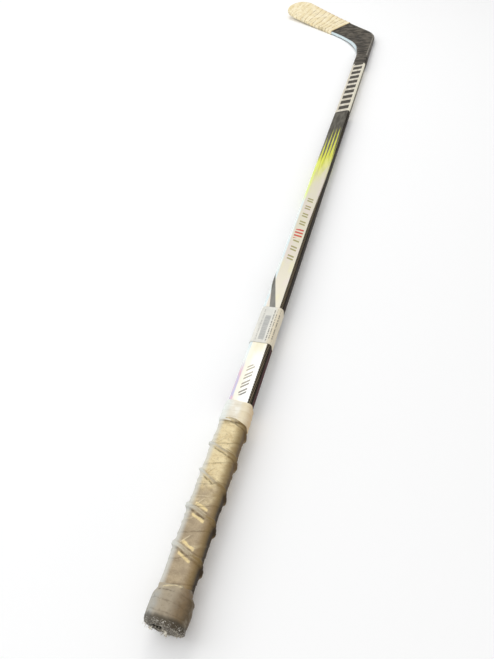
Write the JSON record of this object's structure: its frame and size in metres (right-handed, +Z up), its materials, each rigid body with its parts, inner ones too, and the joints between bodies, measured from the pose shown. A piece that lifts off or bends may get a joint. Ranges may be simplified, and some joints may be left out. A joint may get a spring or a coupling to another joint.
{
  "type": "ice hockey stick",
  "caption": "Senior left-handed ice hockey stick with hollow shaft, curved taped blade, ridged cloth-tape grip and taped end knob, lying flat.",
  "frame": {"origin": "centre of the bottom of the bounding box, on the surface the stick lies on", "axes": "+Y along the shaft from the butt end to the blade, +Z up, toe of the blade towards -X, forehand side of the blade up"},
  "size_m": [0.2894, 1.7088, 0.0414],
  "materials": {
    "shaft_finish": "clear-coated carbon composite with painted bands",
    "blade_carbon": "satin woven carbon composite",
    "foam": "moulded structural foam",
    "plug_plastic": "moulded black",
    "edge_strip": "hard resin strip",
    "blade_cloth": "cream cotton friction tape, waxed and scuffed",
    "grip_cloth": "cream cotton tape, worn and dirty",
    "knob_cloth": "cotton tape, worn grey and frayed",
    "collar_cloth": "clean white cotton tape",
    "label_paper": "matt adhesive paper"
  },
  "bodies": {
    "root": {"shaft_tube": "shaft_finish", "butt_plug": "plug_plastic", "tenon_shell": "blade_carbon", "tenon_core": "foam", "forehand_skin": "blade_carbon", "backhand_skin": "blade_carbon", "heel_core": "foam", "lower_core": "foam", "upper_core": "foam", "core_rib": "blade_carbon", "sole_edge_strip": "edge_strip", "top_edge_strip": "edge_strip", "blade_tape": "blade_cloth", "grip_cord": "grip_cloth", "grip_tape": "grip_cloth", "collar_tape": "collar_cloth", "knob_roll": "knob_cloth", "knob_tape": "knob_cloth", "end_patch": "knob_cloth", "price_label": "label_paper"}
  },
  "joints": []
}
